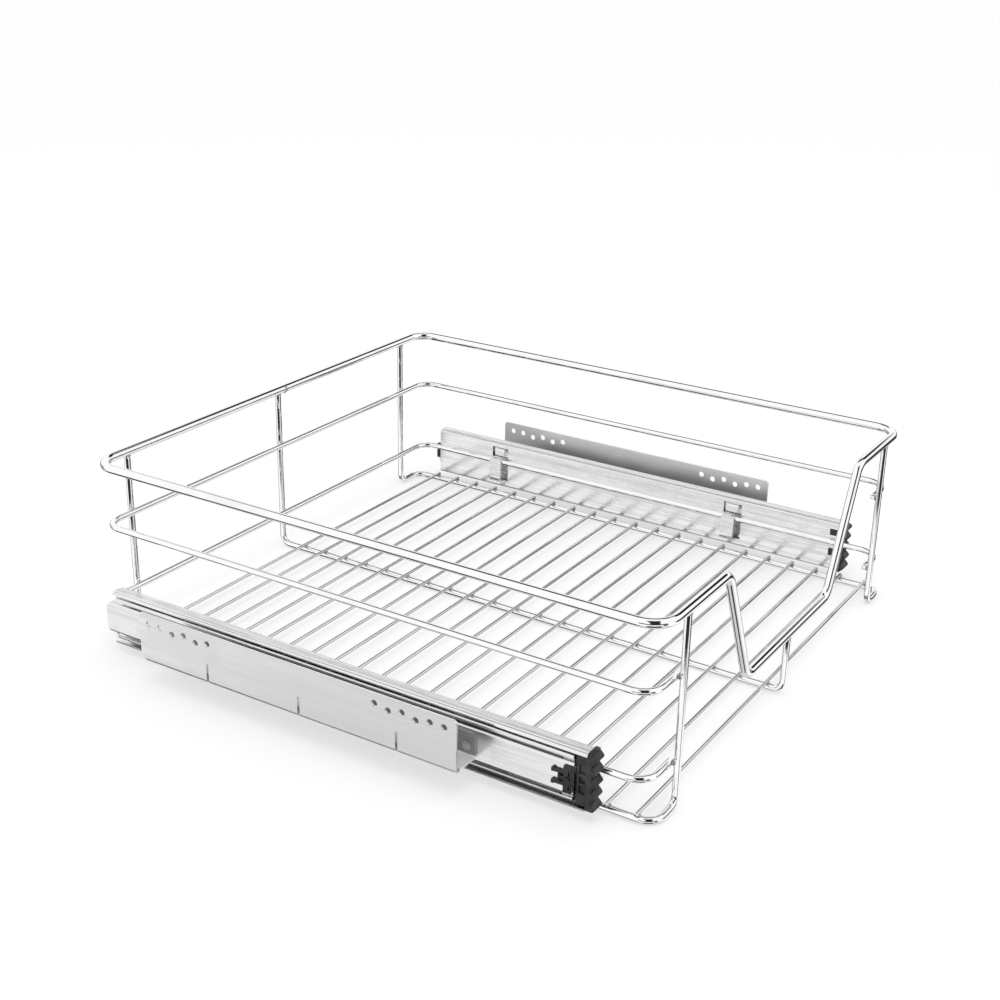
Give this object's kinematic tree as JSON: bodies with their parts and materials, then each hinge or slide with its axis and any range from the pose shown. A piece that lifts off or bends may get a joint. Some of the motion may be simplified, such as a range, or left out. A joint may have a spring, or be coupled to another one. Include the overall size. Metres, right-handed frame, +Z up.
{
  "type": "pull-out cabinet basket",
  "caption": "Chrome wire basket with a dipped front, on full-extension ball-bearing slides with brackets that screw to the sides of a kitchen cabinet.",
  "frame": {"origin": "under the middle of the basket, level with the underside of its bottom wires", "axes": "+X to the right seen from the front, +Y to the back of the cabinet, +Z up; the basket pulls out along -Y"},
  "size_m": [0.5076, 0.487, 0.149],
  "materials": {
    "chrome_wire": "polished chrome plate",
    "slide_steel": "bright zinc plate, drawn lengthways",
    "bracket_steel": "bright zinc plate, brushed",
    "cage_steel": "plain rolled strip, oiled",
    "ball_steel": "polished steel",
    "rivet_steel": "bright zinc plate",
    "black_plastic": "moulded, slightly glossy"
  },
  "bodies": {
    "cabinet_side": {"left_cabinet_member": "slide_steel", "right_cabinet_member": "slide_steel", "left_mounting_bracket": "bracket_steel", "right_mounting_bracket": "bracket_steel", "left_bracket_rivets": "rivet_steel", "right_bracket_rivets": "rivet_steel", "left_lever_pin": "rivet_steel", "right_lever_pin": "rivet_steel"},
    "middle_members": {"left_middle_member": "slide_steel", "right_middle_member": "slide_steel", "left_cage_stops": "black_plastic", "right_cage_stops": "black_plastic"},
    "inner_cages": {"left_inner_cage": "cage_steel", "right_inner_cage": "cage_steel", "left_inner_balls": "ball_steel", "right_inner_balls": "ball_steel"},
    "outer_cages": {"left_outer_cage": "cage_steel", "right_outer_cage": "cage_steel", "left_outer_balls": "ball_steel", "right_outer_balls": "ball_steel"},
    "basket": {"rim_wire": "chrome_wire", "middle_ring_wire": "chrome_wire", "lower_ring_wire": "chrome_wire", "left_side_frame_wire": "chrome_wire", "right_side_frame_wire": "chrome_wire", "centre_support_wire": "chrome_wire", "floor_wire_01": "chrome_wire", "floor_wire_02": "chrome_wire", "floor_wire_03": "chrome_wire", "floor_wire_04": "chrome_wire", "floor_wire_05": "chrome_wire", "floor_wire_06": "chrome_wire", "floor_wire_07": "chrome_wire", "floor_wire_08": "chrome_wire", "floor_wire_09": "chrome_wire", "floor_wire_10": "chrome_wire", "floor_wire_11": "chrome_wire", "floor_wire_12": "chrome_wire", "floor_wire_13": "chrome_wire", "floor_wire_14": "chrome_wire", "floor_wire_15": "chrome_wire", "floor_wire_16": "chrome_wire", "floor_wire_17": "chrome_wire", "floor_wire_18": "chrome_wire", "floor_wire_19": "chrome_wire", "floor_wire_20": "chrome_wire", "floor_wire_21": "chrome_wire", "left_basket_channel": "slide_steel", "right_basket_channel": "slide_steel", "left_front_cap": "black_plastic", "right_front_cap": "black_plastic", "left_rear_stop": "black_plastic", "right_rear_stop": "black_plastic"},
    "left_release_lever": {"left_release_lever": "black_plastic"},
    "right_release_lever": {"right_release_lever": "black_plastic"}
  },
  "joints": [
    {"name": "basket_slide", "type": "slide", "parent": "middle_members", "child": "basket", "axis": [0, -1, 0], "range_m": [0, 0.205]},
    {"name": "middle_slide", "type": "slide", "parent": "cabinet_side", "child": "middle_members", "axis": [0, -1, 0], "range_m": [0, 0.205]},
    {"name": "outer_cage_slide", "type": "slide", "parent": "middle_members", "child": "outer_cages", "axis": [0, -1, 0], "range_m": [0, 0.1025]},
    {"name": "inner_cage_slide", "type": "slide", "parent": "cabinet_side", "child": "inner_cages", "axis": [0, -1, 0], "range_m": [0, 0.1025]},
    {"name": "left_lever_hinge", "type": "hinge", "parent": "cabinet_side", "child": "left_release_lever", "pos_m": [-0.23035, -0.1864, 0.0285], "axis": [1, 0, 0], "range_deg": [0, 8], "stiffness_Nm_per_rad": 0.05, "springref_deg": -2.86},
    {"name": "right_lever_hinge", "type": "hinge", "parent": "cabinet_side", "child": "right_release_lever", "pos_m": [0.23035, -0.1864, 0.0285], "axis": [-1, 0, 0], "range_deg": [0, 8], "stiffness_Nm_per_rad": 0.05, "springref_deg": -2.86}
  ],
  "couplings": [
    {"joint": "middle_slide", "follows": "basket_slide", "ratio": 1},
    {"joint": "outer_cage_slide", "follows": "basket_slide", "ratio": 0.5},
    {"joint": "inner_cage_slide", "follows": "basket_slide", "ratio": 0.5}
  ]
}
